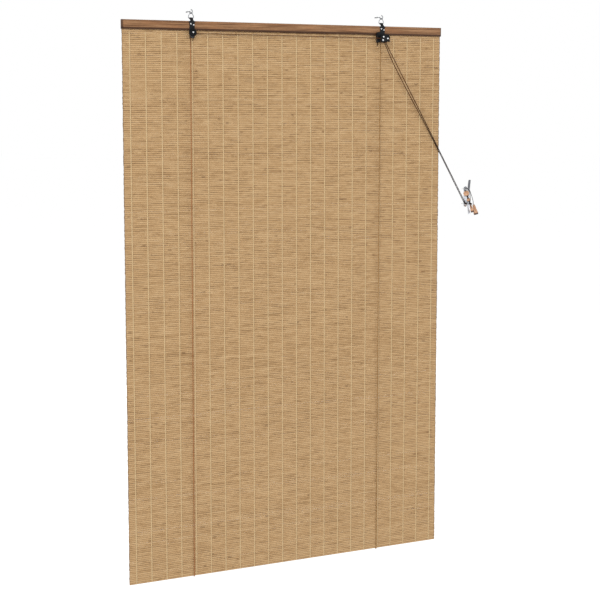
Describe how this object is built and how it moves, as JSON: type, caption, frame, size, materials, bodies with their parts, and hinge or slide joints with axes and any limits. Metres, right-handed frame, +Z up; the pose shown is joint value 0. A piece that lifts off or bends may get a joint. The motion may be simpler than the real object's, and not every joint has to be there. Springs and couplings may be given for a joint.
{
  "type": "bamboo roll up blind",
  "caption": "Split bamboo roll up blind on a wooden rail, hung from screw hooks by ringed pulley brackets, with a cord lock, pull cords, wooden tassels and a wall cleat.",
  "frame": {"origin": "on the wall face, midway between the two hook shanks, at the height of their axes", "axes": "+X along the rail, to the right as seen from the room; +Y into the wall along the hook shanks; +Z up"},
  "size_m": [1.1352, 0.0691, 1.6362],
  "materials": {
    "batten_wood": "stained, satin",
    "bamboo": "split bamboo, natural, satin",
    "black_steel": "black lacquer, semi gloss",
    "bright_steel": "bright zinc",
    "hook_steel": "zinc plated wire",
    "cleat_metal": "cast, satin",
    "cord_brown": "braided cotton cord",
    "tail_cord": "thin twisted cord",
    "turned_wood": "turned beech, clear lacquer",
    "wheel_nylon": "dark moulded nylon"
  },
  "bodies": {
    "wall_fixings": {"left_hook": "hook_steel", "right_hook": "hook_steel", "left_ring": "hook_steel", "right_ring": "hook_steel", "cleat": "cleat_metal", "cleat_screws": "bright_steel", "taut_pull_cord": "cord_brown", "slack_pull_cord": "cord_brown", "lower_bead": "turned_wood", "upper_ball": "turned_wood", "big_tail_cord": "tail_cord", "small_tail_cord": "tail_cord", "big_tassel": "turned_wood", "small_tassel": "turned_wood"},
    "blind": {"front_batten": "batten_wood", "back_batten": "batten_wood", "bamboo_mat": "bamboo", "batten_screws": "bright_steel", "left_bracket": "black_steel", "right_bracket": "black_steel", "left_bracket_screws": "bright_steel", "right_bracket_screws": "bright_steel", "left_cheek": "black_steel", "right_cheek": "black_steel", "left_axle": "black_steel", "right_axle": "black_steel", "pawl_pin": "bright_steel", "left_rivet": "bright_steel", "right_rivet": "bright_steel", "left_lift_cord": "cord_brown", "right_lift_cord": "cord_brown", "left_knot": "cord_brown", "right_knot": "cord_brown"},
    "left_sheave": {"left_wheel": "wheel_nylon"},
    "right_rear_sheave": {"right_rear_wheel": "wheel_nylon"},
    "right_front_sheave": {"right_front_wheel": "wheel_nylon"},
    "pawl": {"lock_pawl": "black_steel"}
  },
  "joints": [
    {"name": "blind_swing", "type": "hinge", "parent": "wall_fixings", "child": "blind", "pos_m": [0, -0.018, -0.0197], "axis": [-1, 0, 0], "range_deg": [-0.3, 25], "deforming": ["taut_pull_cord", "slack_pull_cord"]},
    {"name": "left_wheel_spin", "type": "hinge", "parent": "blind", "child": "left_sheave", "pos_m": [-0.2991, -0.0291, -0.0679], "axis": [0, -1, 0], "continuous": true},
    {"name": "right_rear_wheel_spin", "type": "hinge", "parent": "blind", "child": "right_rear_sheave", "pos_m": [0.2957, -0.0291, -0.0684], "axis": [0, -1, 0], "continuous": true},
    {"name": "right_front_wheel_spin", "type": "hinge", "parent": "blind", "child": "right_front_sheave", "pos_m": [0.2957, -0.0332, -0.0684], "axis": [0, -1, 0], "continuous": true},
    {"name": "lock_pawl_turn", "type": "hinge", "parent": "blind", "child": "pawl", "pos_m": [0.3115, -0.031, -0.0635], "axis": [0, -1, 0], "range_deg": [0, 28]}
  ]
}
